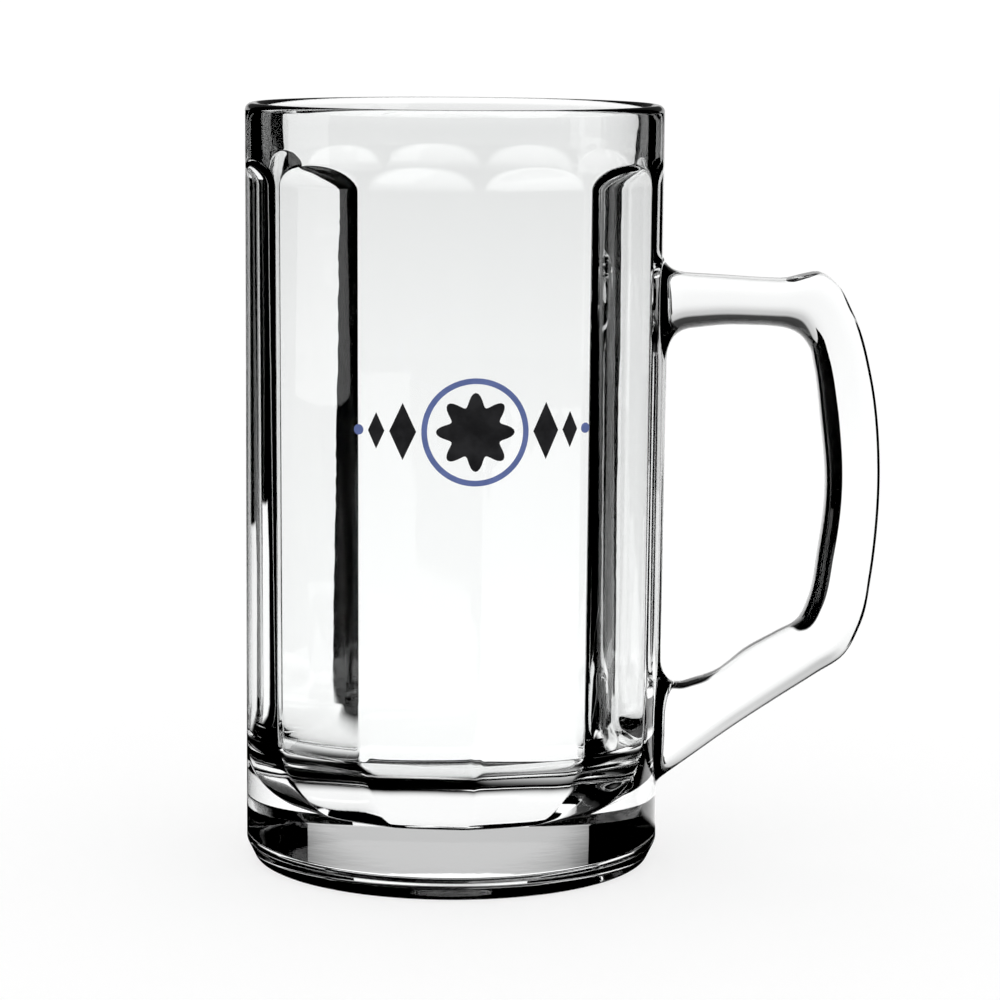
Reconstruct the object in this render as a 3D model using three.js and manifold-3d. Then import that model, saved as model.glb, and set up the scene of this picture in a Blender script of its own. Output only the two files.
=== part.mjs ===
// A pressed-glass beer mug: a round body with a panelled cavity, a bent bar handle joined to the wall
// by two flared roots, and a small fired print on the front. Millimetres, +Z up. The origin is the
// centre of the flat base and the handle points along +X.

import * as THREE from 'three';
import { mergeVertices } from 'three/addons/utils/BufferGeometryUtils.js';
import Module from 'manifold-3d';

const wasm = await Module();
wasm.setup();

// Body, outside
const bodyRadius = 42;
const bodyHeight = 153.4;
const heelHeight = 3.9;
const heelInset = 1.9;
const footRound = 0.7;
const lipWall = 3;

// Cavity: a round, drafted hollow with flat panels that start under a plain band at the rim
const panelCount = 11;
const landWidth = 2.2;
const landWall = 3.8;
const cavityDraft = 1;
const rimBand = 11.1;
const scoopRadius = 11;
const floorThickness = 9.2;
const bowlRadius = 13;

// Handle: the bar's side view, with its width across Y
const handleTop = 119.5;
const barThickness = 10.6;
const handleWidth = 14;
const edgeRound = 3.6;
const handleReach = 86.3;
const gripBow = 7;
const gripLowerInset = 4;
const innerBow = 3.3;
const cornerRound = 5.6;
const thumbRise = 1.3;
const thumbLength = 7.5;
const thumbSetback = 7.8;
const lowerRootHeight = 16.3;
const lowerBow = 0.5;
const lowerRise = THREE.MathUtils.degToRad(34.9);

// Roots: the flared ends that join the bar to the wall, and the rib on the wall between them
const rootLength = 6;
const rootFlare = 4.4;
const underFlare = 7.5;
const lowerFlare = 13;
const rootWiden = 0.3;
const ribProud = 1;
const ribRadius = 20;

// Print: a ringed rosette with lozenges and dots beside it
const printHeight = 92.3;
const printTurn = THREE.MathUtils.degToRad(7);
const ringRadius = 10.4;
const ringLine = 1.1;
const rosetteRadius = 7.6;
const petalCount = 8;
const petalDepth = 0.34;
const lozengeHeights = [11, 7];
const lozengeAspect = 0.48;
const dotRadius = 1;
const printSpacing = 1;
const inkThickness = 0.15;

// Clearances and facets
const fusedGap = 0.3;
const inkGap = 0.12;
const overshoot = 5;
const roundSegments = 8 * panelCount;
const ribSegments = 40;
const arcSteps = 4;
const curveSteps = 2 * arcSteps + 1;

// Materials
const clearGlass = new THREE.MeshStandardMaterial({
  color: 0xeef3f2, roughness: 0.04, metalness: 0, transparent: true, opacity: 0.35,
});
const blackEnamel = new THREE.MeshStandardMaterial({ color: 0x121315, roughness: 0.45, metalness: 0 });
const blueEnamel = new THREE.MeshStandardMaterial({ color: 0x586ba2, roughness: 0.45, metalness: 0 });

// Turns a closed geometry into a solid that can be joined and cut.
function solidFrom(geometry) {
  const shell = new THREE.BufferGeometry();
  shell.setAttribute('position', geometry.getAttribute('position'));
  shell.setIndex(geometry.getIndex());
  const merged = mergeVertices(shell);
  const corners = merged.getIndex().array;
  const triVerts = [];
  for (let i = 0; i < corners.length; i += 3) {
    const [a, b, c] = corners.slice(i, i + 3);
    if (a !== b && b !== c && c !== a) triVerts.push(a, b, c);
  }
  return new wasm.Manifold(new wasm.Mesh({
    numProp: 3,
    vertProperties: merged.getAttribute('position').array,
    triVerts: new Uint32Array(triVerts),
  }));
}

function geometryOf(solid) {
  const { vertProperties, triVerts } = solid.getMesh();
  const geometry = new THREE.BufferGeometry();
  geometry.setAttribute('position', new THREE.BufferAttribute(vertProperties, 3));
  geometry.setIndex(new THREE.BufferAttribute(triVerts, 1));
  return geometry;
}

function meshOf(name, solid, material) {
  const geometry = geometryOf(solid);
  geometry.computeVertexNormals();
  const mesh = new THREE.Mesh(geometry, material);
  mesh.name = name;
  return mesh;
}

// A profile of (radius, height) turned about Z.
function turned(path) {
  const geometry = new THREE.LatheGeometry(path.getPoints(arcSteps), roundSegments);
  return solidFrom(geometry.rotateX(Math.PI / 2));
}

// A block from one corner to the other.
function block(low, high) {
  const size = new THREE.Vector3().subVectors(high, low);
  const middle = new THREE.Vector3().addVectors(high, low).multiplyScalar(0.5);
  return solidFrom(new THREE.BoxGeometry(size.x, size.y, size.z).translate(middle.x, middle.y, middle.z));
}

// The rounded rim: its crest lies midway through the lip.
const lipRadius = lipWall / 2;
const crestRadius = bodyRadius - lipRadius;
const lipHeight = bodyHeight - lipRadius;

// The round hollow's radius at the lip, under the rim band and above the bowl at its bottom.
const lipInside = bodyRadius - lipWall;
const archTop = bodyHeight - rimBand;
const bowlTop = floorThickness + bowlRadius;
const archInside = bodyRadius - landWall;
const bowlInside = archInside - cavityDraft;

function outerBlank() {
  const path = new THREE.Path();
  path.moveTo(0, 0);
  path.lineTo(bodyRadius - heelInset - footRound, 0);
  path.quadraticCurveTo(bodyRadius - heelInset, 0, bodyRadius - heelInset + footRound / 2, footRound);
  path.lineTo(bodyRadius, heelHeight);
  path.lineTo(bodyRadius, lipHeight);
  path.absarc(crestRadius, lipHeight, lipRadius, 0, Math.PI / 2);
  path.lineTo(0, bodyHeight);
  return turned(path);
}

// The rib on the wall behind the handle, widened by grow.
function wallRib(grow) {
  const height = handleTop - lowerRootHeight - 2 * barThickness;
  const rib = new THREE.CylinderGeometry(ribRadius + grow, ribRadius + grow, height, ribSegments);
  rib.rotateX(Math.PI / 2);
  rib.translate(bodyRadius + ribProud - ribRadius, 0, lowerRootHeight + barThickness + height / 2);
  return solidFrom(rib);
}

// The hollow before its panels: floor, bowl, drafted wall, flaring band and the lip's inner round.
function roundPlunger() {
  const path = new THREE.Path();
  const crestOverlap = 0.05;
  path.moveTo(0, floorThickness);
  path.lineTo(bowlInside - bowlRadius, floorThickness);
  path.absarc(bowlInside - bowlRadius, bowlTop, bowlRadius, -Math.PI / 2, 0);
  path.lineTo(archInside, archTop);
  path.lineTo(lipInside, lipHeight);
  path.absarc(crestRadius + crestOverlap, lipHeight, crestRadius + crestOverlap - lipInside,
    Math.PI, Math.PI / 2, true);
  path.lineTo(crestRadius + crestOverlap, bodyHeight + overshoot);
  path.lineTo(0, bodyHeight + overshoot);
  return turned(path);
}

// What one flat panel takes off the round plunger: it is flat from the bowl up, rolls with the bowl at
// the bottom and scoops back out to the round at the top, which draws the panel's arch.
function panelCutter() {
  const halfAngle = Math.PI / panelCount - landWidth / 2 / archInside;
  const archFlat = archInside * Math.cos(halfAngle);
  const bowlFlat = bowlInside * Math.cos(halfAngle);
  const sink = archInside - archFlat;
  const scoopStart = archTop - Math.sqrt(2 * scoopRadius * sink - sink * sink);
  const scoopAngle = Math.acos(1 - 2 * sink / scoopRadius);
  const outside = bodyRadius + overshoot;
  const shape = new THREE.Shape();
  shape.moveTo(bowlFlat - bowlRadius, floorThickness - overshoot);
  shape.lineTo(bowlFlat - bowlRadius, floorThickness);
  shape.absarc(bowlFlat - bowlRadius, bowlTop, bowlRadius, -Math.PI / 2, 0);
  shape.lineTo(archFlat, scoopStart);
  shape.absarc(archFlat + scoopRadius, scoopStart, scoopRadius, Math.PI, Math.PI - scoopAngle, true);
  shape.lineTo(outside, scoopStart + scoopRadius * Math.sin(scoopAngle));
  shape.lineTo(outside, floorThickness - overshoot);
  const width = 2 * bodyRadius * Math.sin(Math.PI / panelCount);
  const cutter = new THREE.ExtrudeGeometry(shape, {
    depth: width, bevelEnabled: false, curveSegments: arcSteps,
  });
  return cutter.translate(0, 0, -width / 2).rotateX(Math.PI / 2);
}

function glassBody() {
  let plunger = roundPlunger();
  for (let i = 0; i < panelCount; i += 1) {
    const turn = 2 * Math.PI * i / panelCount;
    plunger = plunger.subtract(solidFrom(panelCutter().rotateZ(turn)));
  }
  return outerBlank().add(wallRib(0)).subtract(plunger);
}

// The handle's side view in X and Z, from inside the wall at the upper root round the grip to the
// lower root and back along its inner edge. Its curves have an odd number of steps, so that no three
// points of the thumb's S-curve lie in line.
function handleOutline() {
  const insideX = bodyRadius - 2 * rootLength;
  const neckX = bodyRadius + rootLength / 4;
  const rootX = bodyRadius + rootLength;
  const under = handleTop - barThickness;
  const lowerEdge = (x) => lowerRootHeight + (x - bodyRadius) * Math.tan(lowerRise);
  const upperEdge = (x) => lowerEdge(x) + barThickness / Math.cos(lowerRise);

  const gripTopX = handleReach - gripBow;
  const gripTopZ = handleTop - cornerRound;
  const gripLowX = handleReach - gripLowerInset;
  const gripLowZ = lowerEdge(gripLowX) + cornerRound / 2;
  const gripPullX = 2 * handleReach - (gripTopX + gripLowX) / 2;
  const gripPullZ = (gripTopZ + gripLowZ) / 2;
  const thumbX = gripTopX - thumbSetback;
  const thumbZ = handleTop + thumbRise / 2;
  const dipZ = handleTop - thumbRise / 2;
  const cornerX = gripTopX - (thumbZ - gripTopZ) * (gripPullX - gripTopX) / (gripTopZ - gripPullZ);

  const innerX = handleReach - barThickness - innerBow;
  const innerTopZ = under - cornerRound;
  const innerLowZ = upperEdge(innerX) + cornerRound / 2;
  const cornerPull = cornerRound / 6;
  const underStartX = gripLowX - cornerRound;
  const underMiddleX = (underStartX + bodyRadius) / 2;

  const shape = new THREE.Shape();
  shape.moveTo(insideX, handleTop + rootFlare);
  shape.lineTo(bodyRadius, handleTop + rootFlare);
  shape.quadraticCurveTo(neckX, handleTop, rootX, handleTop);
  shape.lineTo(thumbX - thumbLength, dipZ);
  shape.bezierCurveTo(thumbX - thumbLength / 2, dipZ, thumbX - thumbLength / 2, thumbZ, thumbX, thumbZ);
  shape.quadraticCurveTo(cornerX, thumbZ, gripTopX, gripTopZ);
  shape.quadraticCurveTo(gripPullX, gripPullZ, gripLowX, gripLowZ);
  shape.quadraticCurveTo(gripLowX - cornerPull, lowerEdge(gripLowX - cornerPull),
    underStartX, lowerEdge(underStartX));
  shape.quadraticCurveTo(underMiddleX, lowerEdge(underMiddleX) + 2 * lowerBow,
    bodyRadius, lowerEdge(bodyRadius));
  shape.lineTo(insideX, lowerEdge(bodyRadius));
  shape.lineTo(insideX, upperEdge(bodyRadius) + lowerFlare);
  shape.lineTo(bodyRadius, upperEdge(bodyRadius) + lowerFlare);
  shape.quadraticCurveTo(neckX, upperEdge(rootX), rootX + rootLength, upperEdge(rootX + rootLength));
  shape.lineTo(innerX - cornerRound, upperEdge(innerX - cornerRound));
  shape.quadraticCurveTo(innerX - cornerPull, upperEdge(innerX - cornerPull), innerX, innerLowZ);
  shape.quadraticCurveTo(innerX + 2 * innerBow, (innerTopZ + innerLowZ) / 2, innerX, innerTopZ);
  shape.quadraticCurveTo(innerX - cornerPull, under, innerX - cornerRound, under);
  shape.lineTo(rootX, under);
  shape.quadraticCurveTo(neckX, under, bodyRadius, under - underFlare);
  shape.lineTo(insideX, under - underFlare);
  return shape;
}

// The whole handle before it is parted at the roots.
function handleBlank() {
  const blank = new THREE.ExtrudeGeometry(handleOutline(), {
    depth: handleWidth - 2 * edgeRound,
    bevelThickness: edgeRound,
    bevelSize: edgeRound,
    bevelOffset: -edgeRound,
    bevelSegments: arcSteps,
    curveSegments: curveSteps,
  });
  return solidFrom(blank.translate(0, 0, edgeRound - handleWidth / 2).rotateX(Math.PI / 2));
}

// A root widens across Y from the bar's end to the wall.
function widenedRoot(root) {
  const geometry = geometryOf(root);
  const place = geometry.getAttribute('position');
  for (let i = 0; i < place.count; i += 1) {
    const inRoot = (bodyRadius + rootLength - fusedGap - place.getX(i)) / rootLength;
    place.setY(i, place.getY(i) * (1 + rootWiden * Math.min(1, inRoot)));
  }
  return solidFrom(geometry);
}

// Parts the blank into the bar and its two roots, each clear of the wall and of the others.
function handleParts() {
  const blank = handleBlank();
  const seam = bodyRadius + rootLength;
  const middle = (handleTop + lowerRootHeight) / 2;
  const side = handleWidth * (1 + rootWiden);
  const far = handleReach + overshoot;
  const wallPath = new THREE.Path();
  wallPath.moveTo(0, -overshoot);
  wallPath.lineTo(bodyRadius + fusedGap, -overshoot);
  wallPath.lineTo(bodyRadius + fusedGap, bodyHeight + overshoot);
  wallPath.lineTo(0, bodyHeight + overshoot);
  const wall = turned(wallPath).add(wallRib(fusedGap));
  const beyondSeam = block(
    new THREE.Vector3(seam, -side, -overshoot),
    new THREE.Vector3(far, side, bodyHeight),
  );
  const nearUpper = block(
    new THREE.Vector3(0, -side, middle),
    new THREE.Vector3(seam - fusedGap, side, bodyHeight),
  );
  const nearLower = block(
    new THREE.Vector3(0, -side, -overshoot),
    new THREE.Vector3(seam - fusedGap, side, middle),
  );
  return {
    bar: blank.intersect(beyondSeam),
    upperRoot: widenedRoot(blank.intersect(nearUpper)).subtract(wall),
    lowerRoot: widenedRoot(blank.intersect(nearLower)).subtract(wall),
  };
}

// Lifts a flat figure off the page and lays it on the wall as a thin layer of ink.
function inkLayer(shape) {
  const inside = bodyRadius + inkGap;
  const low = printHeight - ringRadius - overshoot;
  const high = printHeight + ringRadius + overshoot;
  const sleeve = new THREE.Path();
  sleeve.moveTo(inside, low);
  sleeve.lineTo(inside + inkThickness, low);
  sleeve.lineTo(inside + inkThickness, high);
  sleeve.lineTo(inside, high);
  sleeve.lineTo(inside, low);
  const figure = new THREE.ExtrudeGeometry(shape, {
    depth: bodyRadius, bevelEnabled: false, curveSegments: 6 * arcSteps,
  });
  figure.rotateX(Math.PI / 2).translate(0, -overshoot, printHeight).rotateZ(printTurn);
  return turned(sleeve).intersect(solidFrom(figure));
}

function ringFigure() {
  const ring = new THREE.Shape().absarc(0, 0, ringRadius, 0, 2 * Math.PI);
  ring.holes.push(new THREE.Path().absarc(0, 0, ringRadius - ringLine, 0, 2 * Math.PI));
  return ring;
}

// A rosette whose radius swings once for each petal.
function rosetteFigure() {
  const points = [];
  const steps = petalCount * 2 * arcSteps;
  for (let i = 0; i < steps; i += 1) {
    const angle = 2 * Math.PI * i / steps;
    const radius = rosetteRadius * (1 - petalDepth * (1 - Math.cos(petalCount * angle)) / 2);
    points.push(new THREE.Vector2(radius * Math.cos(angle), radius * Math.sin(angle)));
  }
  return new THREE.Shape(points);
}

function lozengeFigure(centre, height) {
  const half = height * lozengeAspect / 2;
  return new THREE.Shape([
    new THREE.Vector2(centre - half, 0),
    new THREE.Vector2(centre, -height / 2),
    new THREE.Vector2(centre + half, 0),
    new THREE.Vector2(centre, height / 2),
  ]);
}

function dotFigure(centre) {
  return new THREE.Shape().absarc(centre, 0, dotRadius, 0, 2 * Math.PI);
}

function printMeshes() {
  const meshes = [
    meshOf('print_ring', inkLayer(ringFigure()), blueEnamel),
    meshOf('print_rosette', inkLayer(rosetteFigure()), blackEnamel),
  ];
  for (const [name, direction] of [['left', -1], ['right', 1]]) {
    let edge = ringRadius + printSpacing;
    lozengeHeights.forEach((height, i) => {
      const width = height * lozengeAspect;
      const figure = lozengeFigure(direction * (edge + width / 2), height);
      meshes.push(meshOf(`print_lozenge_${name}_${i + 1}`, inkLayer(figure), blackEnamel));
      edge += width + printSpacing;
    });
    const dot = dotFigure(direction * (edge + dotRadius));
    meshes.push(meshOf(`print_dot_${name}`, inkLayer(dot), blueEnamel));
  }
  return meshes;
}

const { bar, upperRoot, lowerRoot } = handleParts();
const mug = new THREE.Group();
mug.add(
  meshOf('glass_body', glassBody(), clearGlass),
  meshOf('handle_bar', bar, clearGlass),
  meshOf('upper_handle_root', upperRoot, clearGlass),
  meshOf('lower_handle_root', lowerRoot, clearGlass),
  ...printMeshes(),
);

export default mug;
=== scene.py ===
import math

import bpy
import numpy as np
from mathutils import Matrix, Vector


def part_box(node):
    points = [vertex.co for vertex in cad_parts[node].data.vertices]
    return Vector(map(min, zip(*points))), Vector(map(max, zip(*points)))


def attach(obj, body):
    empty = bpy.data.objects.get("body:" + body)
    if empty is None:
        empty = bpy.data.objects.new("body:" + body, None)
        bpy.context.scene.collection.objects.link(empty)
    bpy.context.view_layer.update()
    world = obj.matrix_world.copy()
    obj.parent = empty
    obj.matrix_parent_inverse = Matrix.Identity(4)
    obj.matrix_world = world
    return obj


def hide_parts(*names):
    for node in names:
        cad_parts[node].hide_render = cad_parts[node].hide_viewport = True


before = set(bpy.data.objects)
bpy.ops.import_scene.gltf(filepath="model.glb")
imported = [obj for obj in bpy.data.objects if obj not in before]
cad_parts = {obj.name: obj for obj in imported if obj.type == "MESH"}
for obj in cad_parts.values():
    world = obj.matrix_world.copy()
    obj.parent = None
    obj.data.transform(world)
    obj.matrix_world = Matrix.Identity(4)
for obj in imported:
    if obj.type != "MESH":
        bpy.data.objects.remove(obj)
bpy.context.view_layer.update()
scene = bpy.context.scene
scene.view_settings.view_transform = "Standard"
mm = 0.001  # sizes below are in millimetres, meshes in metres
print("frame loaded:", len(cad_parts), "nodes")


# Shader wires

class Wire:
    # One socket of a node tree. Maths on wires adds Math nodes.
    def __init__(self, tree, socket=None):
        self.tree = tree
        self.socket = socket

    def node(self, kind, settings=None, inputs=None, output=0):
        # Any node: its settings first, then values or wires for its sockets.
        made = self.tree.nodes.new(kind)
        for name, value in (settings or {}).items():
            if name == "stops":
                setStops(made.color_ramp, value)
            else:
                setattr(made, name, value)
        for key, value in (inputs or {}).items():
            if isinstance(value, Wire):
                self.tree.links.new(value.socket, made.inputs[key])
            else:
                made.inputs[key].default_value = value
        return Wire(self.tree, made.outputs[output] if len(made.outputs) else None)

    def maths(self, operation, *values):
        return self.node("ShaderNodeMath", {"operation": operation}, dict(enumerate(values)))

    def __add__(self, other):
        return self.maths("ADD", self, other)

    def __radd__(self, other):
        return self.maths("ADD", other, self)

    def __sub__(self, other):
        return self.maths("SUBTRACT", self, other)

    def __rsub__(self, other):
        return self.maths("SUBTRACT", other, self)

    def __mul__(self, other):
        return self.maths("MULTIPLY", self, other)

    def __rmul__(self, other):
        return self.maths("MULTIPLY", other, self)

    def __truediv__(self, other):
        return self.maths("DIVIDE", self, other)

    def __rtruediv__(self, other):
        return self.maths("DIVIDE", other, self)

    def __abs__(self):
        return self.maths("ABSOLUTE", self)

    def larger(self, other):
        return self.maths("MAXIMUM", self, other)

    def smaller(self, other):
        return self.maths("MINIMUM", self, other)

    def step(self, low, high):
        # Rises smoothly from 0 at low to 1 at high; falls if high is below low.
        return self.node("ShaderNodeMapRange", {"interpolation_type": "SMOOTHSTEP"},
                         {0: self, 1: low, 2: high})

    def blend(self, first, second):
        # Colour between first and second by this wire.
        return self.node("ShaderNodeMix", {"data_type": "RGBA"}, {0: self, 6: first, 7: second}, 2)

    def parts(self):
        split = self.tree.nodes.new("ShaderNodeSeparateXYZ")
        self.tree.links.new(self.socket, split.inputs[0])
        return [Wire(self.tree, out) for out in split.outputs]

    def noise(self, scale, detail=2.0, roughness=0.5):
        return self.node("ShaderNodeTexNoise", {},
                         {"Vector": self, "Scale": scale, "Detail": detail, "Roughness": roughness})


def setStops(ramp, stops):
    while len(ramp.elements) < len(stops):
        ramp.elements.new(1.0)
    for element, (place, value) in zip(ramp.elements, stops):
        element.position = place
        element.color = (value, value, value, 1.0)


def emptyTree(owner):
    owner.use_nodes = True
    owner.node_tree.nodes.clear()
    return Wire(owner.node_tree)


def newMaterial(name):
    material = bpy.data.materials.new(name)
    return material, emptyTree(material)


# Mesh tools

def gridQuads(index, closed):
    # Four corners per cell of a grid of vertex numbers; closed joins the last column to the first.
    right = np.roll(index, -1, axis=1) if closed else index[:, 1:]
    left = index if closed else index[:, :-1]
    cells = np.stack([left[:-1], right[:-1], right[1:], left[1:]], axis=-1)
    return cells.reshape(-1, 4)


def fanTriangles(ring, pole):
    # A pole joined to each edge of a closed ring.
    return np.stack([ring, np.roll(ring, -1), np.full_like(ring, pole)], axis=-1)


noTriangles = np.zeros((0, 3), dtype=int)


def addPiece(name, points, quads, triangles, material):
    mesh = bpy.data.meshes.new(name)
    mesh.from_pydata((points * mm).tolist(), [], quads.tolist() + triangles.tolist())
    mesh.polygons.foreach_set("use_smooth", np.ones(len(mesh.polygons), dtype=bool))
    mesh.materials.append(material)
    mesh.update()
    piece = bpy.data.objects.new(name, mesh)
    scene.collection.objects.link(piece)
    return piece


def softMin(a, b, width):
    # The smaller of two arrays, rounded over where they differ by less than width.
    share = np.clip(0.5 + 0.5 * (b - a) / width, 0, 1)
    return b + (a - b) * share - width * share * (1 - share)


def ease(x, low, high):
    # Rises smoothly from 0 at low to 1 at high.
    t = np.clip((x - low) / (high - low), 0, 1)
    return t * t * (3 - 2 * t)


def bezier(start, pull, end, t):
    # A curve from start to end that leaves and arrives along the lines to pull.
    t = np.asarray(t)[..., None]
    return (1 - t) ** 2 * start + 2 * t * (1 - t) * pull + t ** 2 * end


def spline(knots, points, at):
    # A smooth curve through points: cubic pieces whose slope at each knot is that of its neighbours.
    slopes = np.gradient(points, knots, axis=0)
    span = np.clip(np.searchsorted(knots, at, side="right") - 1, 0, len(knots) - 2)
    width = (knots[span + 1] - knots[span])[:, None]
    t = (at - knots[span])[:, None] / width
    return ((1 + 2 * t) * (1 - t) ** 2 * points[span] + t * (1 - t) ** 2 * width * slopes[span]
            + t * t * (3 - 2 * t) * points[span + 1] - t * t * (1 - t) * width * slopes[span + 1])


# Glass

glassLook = dict(
    tint=((0.975, 0.985, 0.982, 1.0), (0.992, 0.996, 0.995, 1.0)),
    index=1.52,
    tintScale=18.0,
    rippleScale=260.0, rippleDetail=3.0,
    rippleStretch=(1.0, 1.0, 0.3),
    rippleHeight=0.006 * mm,
    haze=(0.0, 0.012), hazeRange=(0.45, 0.75),
)


def makeGlass(look):
    material, tree = newMaterial("clear_glass")
    place = tree.node("ShaderNodeTexCoord", output="Object")
    cloud = place.noise(look["tintScale"])
    streaks = place.node("ShaderNodeMapping", {}, {"Vector": place, "Scale": look["rippleStretch"]})
    ripple = streaks.noise(look["rippleScale"], look["rippleDetail"])
    bump = tree.node("ShaderNodeBump", {},
                     {"Strength": 1.0, "Distance": look["rippleHeight"], "Height": ripple})
    low, high = look["haze"]
    shader = tree.node("ShaderNodeBsdfPrincipled", {}, {
        "Base Color": cloud.blend(*look["tint"]),
        "Roughness": low + (high - low) * cloud.step(*look["hazeRange"]),
        "IOR": look["index"],
        "Transmission Weight": 1.0,
        "Normal": bump,
    })
    tree.node("ShaderNodeOutputMaterial", {}, {"Surface": shader})
    return material


glass = makeGlass(glassLook)
print("glass mixed")


# Body, with the roots and the bar fused to it

bodyLow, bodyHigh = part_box("glass_body")
body = dict(
    radius=-bodyLow.x / mm,
    height=bodyHigh.z / mm,
    heelHeight=3.9, heelInset=1.9, footRound=0.7, heelRound=0.25, lipWall=3.0,
    footWidth=3.2, recess=3.4, recessSlope=2.6, roofRound=1.2, ringRound=0.6, slopeShares=(0.3, 0.85),
    panels=11, landWidth=2.0, landWall=3.3, draft=1.0, rimBand=11.1,
    scoopRadius=9.0, floor=11.2, bowl=15.2, bowlReach=16.0, bowlPower=1.3, edgeBlend=0.08, bowlBlend=1.2,
    bowlLead=2.0, markRadius=8.2, markDepth=0.3, markEdge=1.2,
    ribProud=1.0, ribHalfWidth=9.0, ribFades=(24.0, 36.0, 106.0, 118.0),
)
detail = dict(
    landColumns=8, arcSteps=6, baseRows=9, baseShares=(0.08, 0.92), heelRows=4, lipSteps=25,
    wallRows=(5, 24, 12), rimRows=8, archRows=30, panelRows=22, archMargin=1.0, bowlRows=36,
    floorRows=22, poleShare=0.03,
)
rootWindow = dict(spans=20, upper=(99.4, 125.9), lower=(12.4, 43.9))

panelHalf = math.pi / body["panels"]
archInside = body["radius"] - body["landWall"]
flatHalf = panelHalf - body["landWidth"] / 2 / archInside
archTop = body["height"] - body["rimBand"]
lipRadius = body["lipWall"] / 2
lipHeight = body["height"] - lipRadius


def bodyAngles():
    # Columns crowd towards the edges of each flat panel, with a few across each land.
    flat = flatHalf * np.sin(np.linspace(-math.pi / 2, math.pi / 2, rootWindow["spans"] + 1))
    swing = np.sin(np.linspace(-math.pi / 2, math.pi / 2, detail["landColumns"] + 2)[1:-1])
    land = panelHalf + (panelHalf - flatHalf) * swing
    local = np.concatenate([flat, land])
    turns = 2 * panelHalf * np.arange(body["panels"])
    return (turns[:, None] + local[None, :]).ravel()


def wallRadius(angle, height):
    # Outside wall: a cylinder, with a low rib behind the handle between its roots.
    across = body["radius"] * np.sin(angle) / body["ribHalfWidth"]
    rise, full, fall, gone = body["ribFades"]
    shape = np.clip(1 - across ** 2, 0, 1) ** 2 * (np.cos(angle) > 0)
    level = ease(height, rise, full) * (1 - ease(height, fall, gone))
    return body["radius"] + body["ribProud"] * shape * level


def wallPoint(angle, height):
    # X and Y are the wall's radius times the angle's cosine and sine.
    radius = wallRadius(angle, height)
    return np.stack([radius * np.cos(angle), radius * np.sin(angle), height], axis=-1)


def wallHeights():
    # Rows of the outside wall, with even rows across each root's window.
    lower, upper, spans = rootWindow["lower"], rootWindow["upper"], rootWindow["spans"]
    below, between, above = detail["wallRows"]
    start = body["heelHeight"] + body["heelRound"]
    runs = [np.linspace(start, lower[0], below)[:-1], np.linspace(*lower, spans + 1),
            np.linspace(lower[1], upper[0], between)[1:-1], np.linspace(*upper, spans + 1),
            np.linspace(upper[1], lipHeight, above)[1:-1]]
    return np.concatenate(runs)


def outerProfile():
    # Radius and height from near the base's centre, over the foot ring, to the top of the heel.
    radius, inset = body["radius"], body["heelInset"]
    foot = radius - inset - body["footRound"]
    ring = foot - body["footWidth"]
    roof = ring - body["recessSlope"]
    t = np.linspace(0, 1, detail["arcSteps"])
    inner = roof * np.linspace(*detail["baseShares"], detail["baseRows"])
    centre = np.stack([inner, np.full_like(inner, body["recess"])], axis=-1)
    top, under = np.array([roof, body["recess"]]), np.array([ring, 0.0])
    slopeTop, slopeFoot = [top + (under - top) * share for share in body["slopeShares"]]
    roofArc = bezier(top - np.array([body["roofRound"], 0]), top, slopeTop, t)
    ringArc = bezier(slopeFoot, under, under + np.array([body["ringRound"], 0]), t)
    base = np.concatenate([centre, roofArc, ringArc])
    heelFoot = np.array([radius - inset + body["footRound"] / 2, body["footRound"]])
    footArc = bezier(np.array([foot, 0]), np.array([radius - inset, 0]), heelFoot, t)
    corner = np.array([radius, body["heelHeight"]])
    slope = (corner - heelFoot) / np.linalg.norm(corner - heelFoot)
    heelEnd = corner - slope * body["heelRound"]
    heel = heelFoot + (heelEnd - heelFoot) * np.linspace(0, 1, detail["heelRows"] + 2)[1:-1, None]
    heelArc = bezier(heelEnd, corner, corner + np.array([0, body["heelRound"]]), t)[:-1]
    return np.concatenate([base, footArc, heel, heelArc])


def lipProfile():
    # A half round from the outside wall over the crest to the inside.
    turn = np.linspace(0, math.pi, detail["lipSteps"])
    return np.stack([body["radius"] - lipRadius + lipRadius * np.cos(turn),
                     lipHeight + lipRadius * np.sin(turn)], axis=-1)


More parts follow.
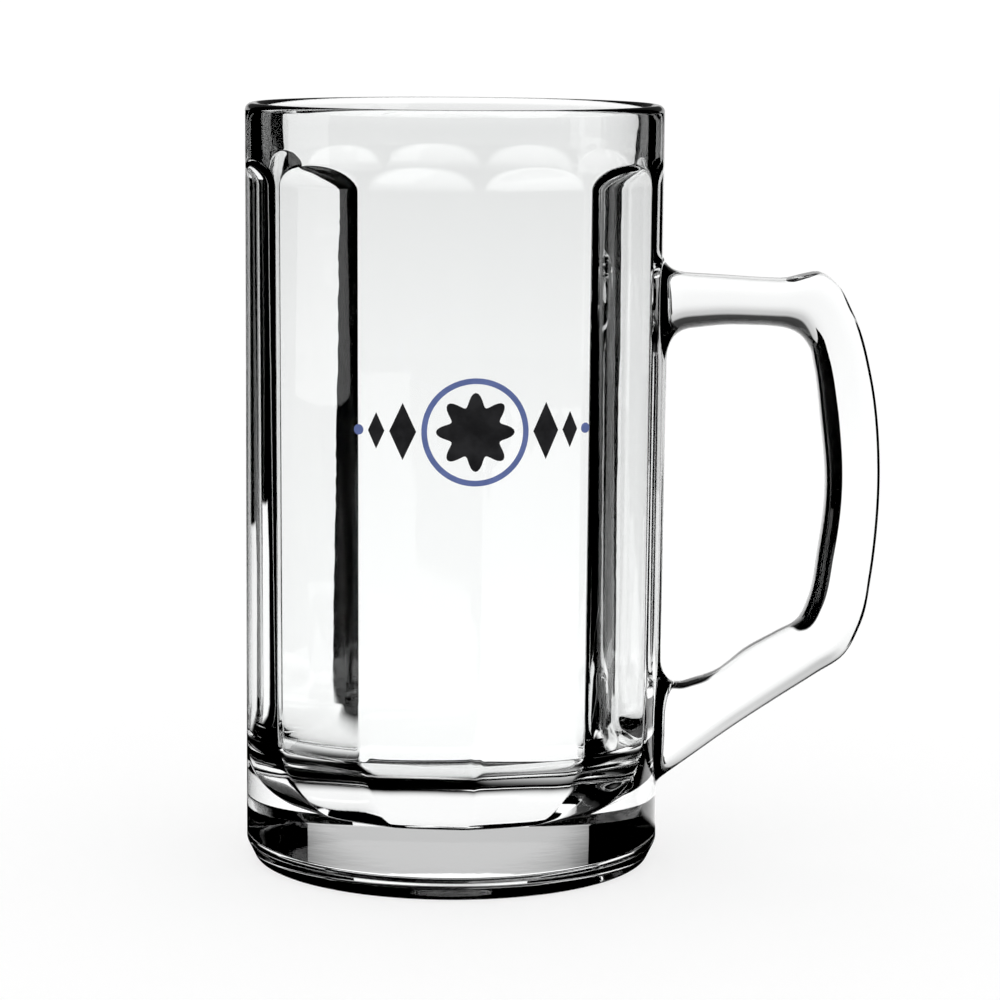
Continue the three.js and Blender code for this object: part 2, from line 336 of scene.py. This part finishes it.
def hollowRows():
    # Height, round radius and panel distance for each row from under the lip to the floor's edge. The
    # bowl's rows follow a superellipse: cosine and sine of the roll, each to two over the bowl's power.
    bowlTop = body["floor"] + body["bowl"]
    lipInside = body["radius"] - body["lipWall"]
    bowlInside = archInside - body["draft"]
    archFlat = archInside * math.cos(flatHalf)
    bowlFlat = bowlInside * math.cos(flatHalf)
    sink = archInside - archFlat
    scoopStart = archTop - math.sqrt(2 * body["scoopRadius"] * sink - sink ** 2)
    high, low = archTop + detail["archMargin"], scoopStart - detail["archMargin"]
    height = np.concatenate([
        np.linspace(lipHeight, high, detail["rimRows"])[1:], np.linspace(high, low, detail["archRows"])[1:],
        np.linspace(low, bowlTop, detail["panelRows"])[1:-1]])
    roundOut = np.where(height > archTop,
                        archInside + (lipInside - archInside) * (height - archTop) / (lipHeight - archTop),
                        bowlInside + body["draft"] * (height - bowlTop) / (archTop - bowlTop))
    climb = np.clip(height - scoopStart, 0, body["scoopRadius"])
    scoop = body["scoopRadius"] - np.sqrt(body["scoopRadius"] ** 2 - climb ** 2)
    flat = bowlFlat + (archFlat - bowlFlat) * (height - bowlTop) / (archTop - bowlTop) + scoop
    roll = np.linspace(0, math.pi / 2, detail["bowlRows"])
    bowlHeight = bowlTop - body["bowl"] * np.sin(roll) ** (2 / body["bowlPower"])
    bowlOut = body["bowlReach"] * (np.cos(roll) ** (2 / body["bowlPower"]) - 1)
    return (np.concatenate([height, bowlHeight]), np.concatenate([roundOut, bowlInside + bowlOut]),
            np.concatenate([flat, bowlFlat + bowlOut]))


def hollowGrid(angle):
    # Each row's radius is the smaller of the round and of the flat's distance over the cosine of the angle
    # from its middle. The two blend more softly down in the bowl.
    local = (angle + panelHalf) % (2 * panelHalf) - panelHalf
    height, roundOut, flat = hollowRows()
    soften = ease(body["floor"] + body["bowl"] + body["bowlLead"] - height, 0, body["bowl"])
    blend = body["edgeBlend"] + (body["bowlBlend"] - body["edgeBlend"]) * soften
    radius = softMin(roundOut[:, None] + 0 * local, flat[:, None] / np.cos(local), blend[:, None])
    shrink = np.linspace(1, detail["poleShare"], detail["floorRows"])[1:]
    floorRadius = shrink[:, None] * radius[-1]
    outsideMark = ease(floorRadius, body["markRadius"] - body["markEdge"], body["markRadius"])
    floorHeight = body["floor"] - body["markDepth"] * (1 - outsideMark)
    allRadius = np.concatenate([radius, floorRadius])
    allHeight = np.concatenate([np.repeat(height[:, None], len(angle), axis=1), floorHeight])
    return np.stack([allRadius * np.cos(angle), allRadius * np.sin(angle), allHeight], axis=-1)


def turnedGrid(profile, angle):
    # A profile turned about Z: X and Y are the radius times the angle's cosine and sine, Z the height.
    radius, height = profile[:, :1], profile[:, 1:]
    return np.stack([radius * np.cos(angle), radius * np.sin(angle), height + 0 * angle], axis=-1)


# Handle: matching points of the outer and inner edge of the bar in X and Z, from the upper root
# round the grip to the lower root
handle = dict(
    outer=[(48.0, 119.6), (55.5, 119.2), (62.5, 118.8), (67.2, 118.8), (70.4, 119.6), (73.6, 120.1),
           (76.6, 118.4), (80.2, 112.3), (84.1, 99.9), (86.25, 80.4), (84.9, 58.4), (82.9, 48.7),
           (79.6, 42.5), (74.0, 38.6), (65.5, 33.0), (56.8, 27.1), (48.0, 20.6)],
    inner=[(48.0, 108.8), (54.5, 109.5), (60.5, 109.5), (64.5, 109.3), (67.3, 108.8), (69.7, 107.6),
           (71.6, 105.3), (72.8, 101.1), (74.3, 90.4), (75.5, 76.9), (74.3, 63.5), (72.6, 53.5),
           (70.3, 48.8), (66.2, 46.4), (60.0, 42.9), (54.2, 38.3), (48.0, 36.1)],
    halfWidth=7.0, outerSquareness=5.0, innerSquareness=3.0, stations=130,
)
roots = dict(
    upper=dict(foot=(101.2, 124.3), halfWidth=9.4),
    lower=dict(foot=(14.7, 41.5), halfWidth=9.4),
    footSquareness=2.4, wallRows=4, flareRows=12,
)


def windowLoop():
    # Row and column steps round a square window, anticlockwise from its lower left corner.
    spans = rootWindow["spans"]
    run = np.arange(spans)
    still = np.zeros(spans, dtype=int)
    column = np.concatenate([run, still + spans, spans - run, still])
    row = np.concatenate([still, run, still + spans, spans - run])
    return row, column


def polarUnit(turn, squareness):
    # A superellipse of half-size one, by its polar angle.
    cosine, sine = np.cos(turn), np.sin(turn)
    reach = (np.abs(cosine) ** squareness + np.abs(sine) ** squareness) ** (-1 / squareness)
    return reach * cosine, reach * sine


def barGrid(turn):
    # Section carried along the bar: middle of the two edges, plus the half step to the outer edge times
    # the section's height, plus Y times its width. The section is squarer outside than inside.
    outer, inner = np.array(handle["outer"]), np.array(handle["inner"])
    middle = (outer + inner) / 2
    knots = np.concatenate([[0], np.cumsum(np.linalg.norm(np.diff(middle, axis=0), axis=1))])
    at = np.linspace(0, knots[-1], handle["stations"])
    outerEdge, innerEdge = spline(knots, outer, at), spline(knots, inner, at)
    squareness = np.where(np.sin(turn) > 0, handle["outerSquareness"], handle["innerSquareness"])
    wide, tall = polarUnit(turn, squareness)
    centre, half = (outerEdge + innerEdge) / 2, (outerEdge - innerEdge) / 2
    flat = centre[:, None, :] + half[:, None, :] * tall[None, :, None]
    across = np.repeat(handle["halfWidth"] * wide[None, :], len(at), axis=0)
    return np.stack([flat[..., 0], across, flat[..., 1]], axis=-1)


def rootGrid(root, windowPoints, turn, ring, towards, upright):
    # From the window's edge over the wall to a rounded foot, then a flare that leaves along the wall and
    # arrives along the bar.
    low, high = root["foot"]
    wide, tall = polarUnit(turn, roots["footSquareness"])
    footHeight = (low + high) / 2 + (high - low) / 2 * tall * upright
    footAngle = root["halfWidth"] * wide / body["radius"]
    edgeAngle = np.arctan2(windowPoints[:, 1], windowPoints[:, 0])
    share = np.linspace(0, 1, roots["wallRows"] + 1)[1:, None]
    onWall = wallPoint(edgeAngle + (footAngle - edgeAngle) * share,
                       windowPoints[:, 2] + (footHeight - windowPoints[:, 2]) * share)
    wallX = wallPoint(np.arcsin(ring[:, 1] / body["radius"]), ring[:, 2])[:, 0]
    pull = ring + towards * ((wallX - ring[:, 0]) / towards[:, 0])[:, None]
    t = np.linspace(0, 1, roots["flareRows"] + 1)[1:-1, None]
    flare = bezier(onWall[-1], pull, ring, t)
    return np.concatenate([onWall, flare])


def makeMug():
    angle = bodyAngles()
    spans = rootWindow["spans"]
    heights = wallHeights()
    outside = turnedGrid(outerProfile(), angle)
    wall = wallPoint(angle[None, :] + 0 * heights[:, None], heights[:, None] + 0 * angle)
    lip = turnedGrid(lipProfile(), angle)
    hollow = hollowGrid(angle)
    shell = np.concatenate([outside, wall, lip, hollow])
    index = np.arange(shell[..., 0].size).reshape(shell.shape[:2])
    points = [shell.reshape(-1, 3)]
    count = index.size

    # Windows in the wall where the roots grow out, in the panel that faces the handle: columns 0 to spans
    row, column = windowLoop()
    keep = np.ones((index.shape[0] - 1, index.shape[1]), dtype=bool)
    loops = {}
    for name in ("upper", "lower"):
        first = len(outside) + int(np.argmin(np.abs(heights - rootWindow[name][0])))
        keep[first:first + spans, :spans] = False
        loops[name] = index[first + (row if name == "upper" else spans - row), column]
    quads = [gridQuads(index, True)[keep.ravel()]]

    # The bar, then a root at each of its ends
    turn = np.arctan2(row - spans / 2, np.sin(math.pi * (column / spans - 0.5)) * spans / 2)
    bar = barGrid(turn)
    barIndex = count + np.arange(bar[..., 0].size).reshape(bar.shape[:2])
    points.append(bar.reshape(-1, 3))
    count += barIndex.size
    barQuads = gridQuads(barIndex, True)
    quads.append(barQuads)
    for name, end, inward, upright in (("upper", 0, 1, 1), ("lower", -1, -2, -1)):
        towards = bar[end] - bar[inward]
        ring = bar[end]
        grid = rootGrid(roots[name], points[0][loops[name]], turn, ring, towards, upright)
        gridIndex = count + np.arange(grid[..., 0].size).reshape(grid.shape[:2])
        points.append(grid.reshape(-1, 3))
        count += gridIndex.size
        whole = np.concatenate([loops[name][None], gridIndex, barIndex[end][None]])
        if name == "lower":
            whole = whole[::-1]
        quads.append(gridQuads(whole, True))

    # Poles at the middle of the base and of the hollow's floor
    points.append(np.array([[0, 0, body["recess"]], [0, 0, body["floor"] - body["markDepth"]]]))
    base = fanTriangles(index[0], count)[:, ::-1]
    floor = fanTriangles(index[-1], count + 1)
    piece = addPiece("glass_mug", np.concatenate(points), np.concatenate(quads),
                     np.concatenate([base, floor]), glass)
    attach(piece, "root")
    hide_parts("glass_body", "handle_bar", "upper_handle_root", "lower_handle_root")
    return piece


mug = makeMug()
print("mug:", len(mug.data.vertices), "points")


# Print

printLook = dict(
    black=((0.010, 0.010, 0.012, 1.0), (0.022, 0.022, 0.025, 1.0)),
    blue=((0.085, 0.125, 0.32, 1.0), (0.115, 0.16, 0.385, 1.0)),
    grainScale=900.0, grainDetail=3.0, grainHeight=0.01 * mm, grainStrength=0.6,
    wearScale=240.0, wearDetail=4.0, wearRoughness=0.65, wearRange=(0.35, 0.7),
    roughness=(0.35, 0.55),
)
prints = dict(
    height=92.3, turn=math.radians(7),
    ringRadius=10.4, ringLine=1.1, rosetteRadius=7.6, petals=8, petalDepth=0.34,
    lozengeHeights=(11.0, 7.0), lozengeAspect=0.48, dotRadius=1.0, spacing=1.0,
    lift=0.03, thickness=0.09, core=0.002, edgeSteps=96, rings=14,
)


def makeEnamel(name, colours, look):
    material, tree = newMaterial(name)
    place = tree.node("ShaderNodeTexCoord", output="Object")
    grain = place.noise(look["grainScale"], look["grainDetail"])
    wear = place.noise(look["wearScale"], look["wearDetail"], look["wearRoughness"])
    low, high = look["roughness"]
    bump = tree.node("ShaderNodeBump", {},
                     {"Strength": look["grainStrength"], "Distance": look["grainHeight"], "Height": grain})
    shader = tree.node("ShaderNodeBsdfPrincipled", {}, {
        "Base Color": wear.step(*look["wearRange"]).blend(*colours),
        "Roughness": low + (high - low) * grain,
        "Normal": bump,
    })
    tree.node("ShaderNodeOutputMaterial", {}, {"Surface": shader})
    return material


def layOnWall(across, up, radius):
    # A flat figure seen from the front, wrapped on the wall: its width becomes arc length.
    angle = prints["turn"] - math.pi / 2 + across / body["radius"]
    return np.stack([radius * np.cos(angle), radius * np.sin(angle), prints["height"] + up], axis=-1)


def inkPiece(name, outline, hole, material):
    # A closed layer between two outlines: out from the hole or centre on top, back underneath.
    share = np.linspace(0, 1, prints["rings"])[:, None, None]
    flat = hole[None] + (outline - hole)[None] * share
    under = body["radius"] + prints["lift"]
    top = layOnWall(flat[..., 0], flat[..., 1], under + prints["thickness"])
    bottom = layOnWall(flat[::-1, :, 0], flat[::-1, :, 1], under)
    grid = np.concatenate([top, bottom])
    index = np.arange(grid[..., 0].size).reshape(grid.shape[:2])
    around = np.concatenate([index, index[:1]])
    quads = gridQuads(around, True)[:, ::-1]
    piece = addPiece(name, grid.reshape(-1, 3), quads, noTriangles, material)
    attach(piece, "root")
    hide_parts(name.replace("ink_", "print_"))
    return piece


def makePrint():
    black = makeEnamel("black_enamel", printLook["black"], printLook)
    blue = makeEnamel("blue_enamel", printLook["blue"], printLook)
    turn = np.linspace(0, 2 * math.pi, prints["edgeSteps"], endpoint=False)
    circle = np.stack([np.cos(turn), np.sin(turn)], axis=-1)
    core = prints["core"]
    ring = prints["ringRadius"] * circle
    inkPiece("ink_ring", ring, ring - prints["ringLine"] * circle, blue)
    swing = 1 - prints["petalDepth"] * (1 - np.cos(prints["petals"] * turn)) / 2
    rosette = prints["rosetteRadius"] * swing[:, None] * circle
    inkPiece("ink_rosette", rosette, core * rosette, black)
    diamond = circle / np.abs(circle).sum(axis=1)[:, None]
    for side, direction in (("left", -1), ("right", 1)):
        edge = prints["ringRadius"] + prints["spacing"]
        for number, height in enumerate(prints["lozengeHeights"], 1):
            width = height * prints["lozengeAspect"]
            middle = np.array([direction * (edge + width / 2), 0])
            lozenge = diamond * np.array([width / 2, height / 2])
            inkPiece(f"ink_lozenge_{side}_{number}", middle + lozenge, middle + core * lozenge, black)
            edge += width + prints["spacing"]
        middle = np.array([direction * (edge + prints["dotRadius"]), 0])
        dot = prints["dotRadius"] * circle
        inkPiece(f"ink_dot_{side}", middle + dot, middle + core * dot, blue)


makePrint()
print("print laid on the wall")


# Studio: a pale floor, a pale backdrop far behind the mug, and dark to the sides. Only rays through glass
# or off gloss see the dark: for the camera the floor and the sky stay pale.

studio = dict(
    softLight=1.06,
    floorColour=(0.98, 0.98, 0.98, 1.0), floorSize=6000.0, floorCells=8, floorDrop=0.05, floorGlow=0.6,
    # A little over 1, because the glass surfaces that a ray crosses take about a fifth of it
    backLight=1.22,
    # Sides of the pale wedge of floor behind the mug: X where Y is 0, slope and bend
    wedgeLeft=(-37.0, -0.145, -0.000083), wedgeRight=(85.0, 0.304, -0.00011),
    # Front of the wedge behind the mug and beside it, and the stretch of X between the two
    wedgeFront=(24.0, 22.0), wedgeStep=(58.8, 71.4), wedgeSoft=4.0, wedgeFade=0.12,
    # Pale disc under the foot: painted light, the floor under the mug lit by light through the glass
    footRadius=33.0, footSoft=3.0, footLightLevel=0.88,
    # Pale lanes away from the mug; an edge is a line, X where Y is 0 and slope, that the lane stays left of
    lanes=(dict(azimuth=-90.0, start=700.0, end=6000.0, halfWidth=60.0, spread=13.0),
           dict(azimuth=-45.0, start=40.0, end=420.0, halfWidth=55.0, spread=0.0, edge=(-60.0, -0.5)),
           dict(azimuth=135.0, start=40.0, end=700.0, halfWidth=70.0, spread=8.0)),
    laneSoft=6.0,
    # Low pale strip of sky, by its azimuth and the height of the direction
    skyAzimuth=-90.0, skySpread=13.0, skyLow=-0.2, skyHigh=0.12, skySoft=0.04,
    # Backdrop: height, left and right edge, then how pale it is by its share of the height
    cardDistance=900.0, cardHeight=900.0, cardColumns=5,
    cardEdges=((0.0, -235.0, 270.0), (120.0, -235.0, 270.0),
               (180.0, -530.0, 520.0), (900.0, -530.0, 520.0)),
    cardStops=((0.0, 0.89), (0.035, 0.85), (0.08, 0.8), (0.2, 0.53), (0.26, 0.49), (0.31, 0.05),
               (1.0, 0.0)),
)


def glassRays(tree):
    # Two masks, both 0 for the camera's own rays and for light on matt things. The first is 1 for what
    # is seen through glass or in gloss, the second only for what is seen through glass.
    def flag(name):
        return tree.node("ShaderNodeLightPath", output=name)
    sharp = 1 - flag("Diffuse Depth").smaller(1.0)
    through = flag("Is Transmission Ray")
    return flag("Is Glossy Ray").larger(through) * sharp, through * sharp


def lane(x, y, azimuth, halfWidth, spread, soft):
    # How far along a lane that leads away from the mug and widens, and a mask: 1 inside it, 0 outside.
    sine, cosine = math.sin(math.radians(azimuth)), math.cos(math.radians(azimuth))
    along = x * sine + y * cosine
    across = abs(x * cosine - y * sine)
    inside = along * math.tan(math.radians(spread)) + halfWidth - across
    return along, inside.step(-soft, soft)


def makeFloor():
    size = studio["floorSize"]
    steps = np.linspace(-size, size, studio["floorCells"] + 1)
    x, y = np.meshgrid(steps, steps)
    grid = np.stack([x, y, np.full_like(x, -studio["floorDrop"])], axis=-1)
    index = np.arange(x.size).reshape(x.shape)
    material, tree = newMaterial("pale_floor")
    px, py, _ = tree.node("ShaderNodeTexCoord", output="Object").parts()
    sharp, through = glassRays(tree)

    # The wedge, which fades on its way to the backdrop
    soft, far = studio["wedgeSoft"] * mm, studio["cardDistance"] * mm
    left, right = [start * mm + py * (slope + bend / mm * py)
                   for start, slope, bend in (studio["wedgeLeft"], studio["wedgeRight"])]
    near, aside = studio["wedgeFront"]
    inner, outer = studio["wedgeStep"]
    front = near + (aside - near) * px.step(inner * mm, outer * mm)
    sides = (px - left).step(-soft, soft) * (px - right).step(soft, -soft)
    ends = (py - front * mm).step(-soft, soft) * (py - far - 2 * soft).step(soft, -soft)
    white = sides * ends * (1 - studio["wedgeFade"] / far * py)

    # The disc under the foot: painted light, a pale pool where light through the glass reaches the floor
    square = px * px + py * py
    reach = square.maths("SQRT", square) / mm
    rim = studio["footSoft"]
    white = white.larger(studio["footLightLevel"] * (reach - studio["footRadius"]).step(rim, -rim))

    # The lanes
    soft = studio["laneSoft"] * mm
    for way in studio["lanes"]:
        along, inside = lane(px, py, way["azimuth"], way["halfWidth"] * mm, way["spread"], soft)
        ends = (along - way["start"] * mm).step(-soft, soft) * (along - way["end"] * mm).step(soft, -soft)
        if "edge" in way:
            start, slope = way["edge"]
            inside = inside * (px - (start * mm + slope * py)).step(soft, -soft)
        white = white.larger(inside * ends * through)

    # Glass and gloss see these. The camera sees a matt floor that keeps its shadow, lifted by a glow.
    seen = tree.node("ShaderNodeEmission", {}, {"Color": white.blend((0, 0, 0, 1), (1, 1, 1, 1)),
                                                "Strength": studio["backLight"]})
    matt = tree.node("ShaderNodeBsdfDiffuse", {}, {"Color": studio["floorColour"]})
    plain = tree.node("ShaderNodeEmission", {}, {"Color": (1, 1, 1, 1)})
    own = tree.node("ShaderNodeLightPath", output="Is Camera Ray") * studio["floorGlow"]
    matt = tree.node("ShaderNodeMixShader", {}, {0: own, 1: matt, 2: plain})
    both = tree.node("ShaderNodeMixShader", {}, {0: sharp, 1: matt, 2: seen})
    tree.node("ShaderNodeOutputMaterial", {}, {"Surface": both})
    addPiece("floor", grid.reshape(-1, 3), gridQuads(index, False), noTriangles, material)


def makeCard():
    # A pale backdrop that fades upwards. Only glass and gloss see it, and only from its front.
    z, left, right = np.array(studio["cardEdges"]).T[..., None]
    x = left + (right - left) * np.linspace(0, 1, studio["cardColumns"])
    z = z + 0 * x
    grid = np.stack([x, np.full_like(x, studio["cardDistance"]), z], axis=-1)
    index = np.arange(x.size).reshape(x.shape)
    material, tree = newMaterial("white_card")
    _, _, pz = tree.node("ShaderNodeTexCoord", output="Object").parts()
    fade = tree.node("ShaderNodeValToRGB", {"stops": studio["cardStops"]},
                     {"Fac": pz / (studio["cardHeight"] * mm)})
    front = tree.node("ShaderNodeEmission", {}, {"Color": fade, "Strength": studio["backLight"]})
    back = tree.node("ShaderNodeBsdfTransparent")
    behind = tree.node("ShaderNodeNewGeometry", output="Backfacing")
    shader = tree.node("ShaderNodeMixShader", {}, {0: behind, 1: front, 2: back})
    tree.node("ShaderNodeOutputMaterial", {}, {"Surface": shader})
    card = addPiece("card", grid.reshape(-1, 3), gridQuads(index, False), noTriangles, material)
    card.visible_camera = False
    card.visible_diffuse = False
    card.visible_shadow = False


def makeSky():
    # Soft pale light from all round for matt things and the camera; dark but for one low strip for glass.
    world = bpy.data.worlds.new("studio")
    scene.world = world
    tree = emptyTree(world)
    dx, dy, dz = tree.node("ShaderNodeTexCoord", output="Generated").parts()
    soft = studio["skySoft"]
    along, inside = lane(dx, dy, studio["skyAzimuth"], 0.0, studio["skySpread"], soft)
    sharp, through = glassRays(tree)
    white = (through * inside * along.step(0.0, soft) * (dz - studio["skyLow"]).step(-soft, soft)
             * (dz - studio["skyHigh"]).step(soft, -soft))
    bright = studio["backLight"]
    seen = white.blend((0, 0, 0, 1), (bright, bright, bright, 1))
    pale = studio["softLight"]
    colour = sharp.blend((pale, pale, pale, 1), seen)
    back = tree.node("ShaderNodeBackground", {}, {"Color": colour})
    tree.node("ShaderNodeOutputWorld", {}, {"Surface": back})


makeFloor()
makeCard()
makeSky()
print("studio set")


# Camera

view = dict(
    distance=707.1, height=176.5, azimuth=1.2, yaw=0.773, pitch=8.311, roll=0.415,
    focalPixels=3513.0, imageSide=1000.0, sensorWidth=36.0, clipStart=0.01,
)


def makeCamera():
    data = bpy.data.cameras.new("camera")
    data.sensor_width = view["sensorWidth"]
    data.lens = view["sensorWidth"] * view["focalPixels"] / view["imageSide"]
    data.clip_start = view["clipStart"]
    camera = bpy.data.objects.new("camera", data)
    scene.collection.objects.link(camera)
    swing = math.radians(view["azimuth"])
    place = (view["distance"] * math.sin(swing) * mm, -view["distance"] * math.cos(swing) * mm,
             view["height"] * mm)
    heading = Matrix.Rotation(swing - math.radians(view["yaw"]), 4, "Z")
    tilt = Matrix.Rotation(math.radians(90 - view["pitch"]), 4, "X")
    roll = Matrix.Rotation(math.radians(view["roll"]), 4, "Z")
    camera.matrix_world = Matrix.Translation(place) @ heading @ tilt @ roll
    scene.camera = camera


makeCamera()
print("camera placed")
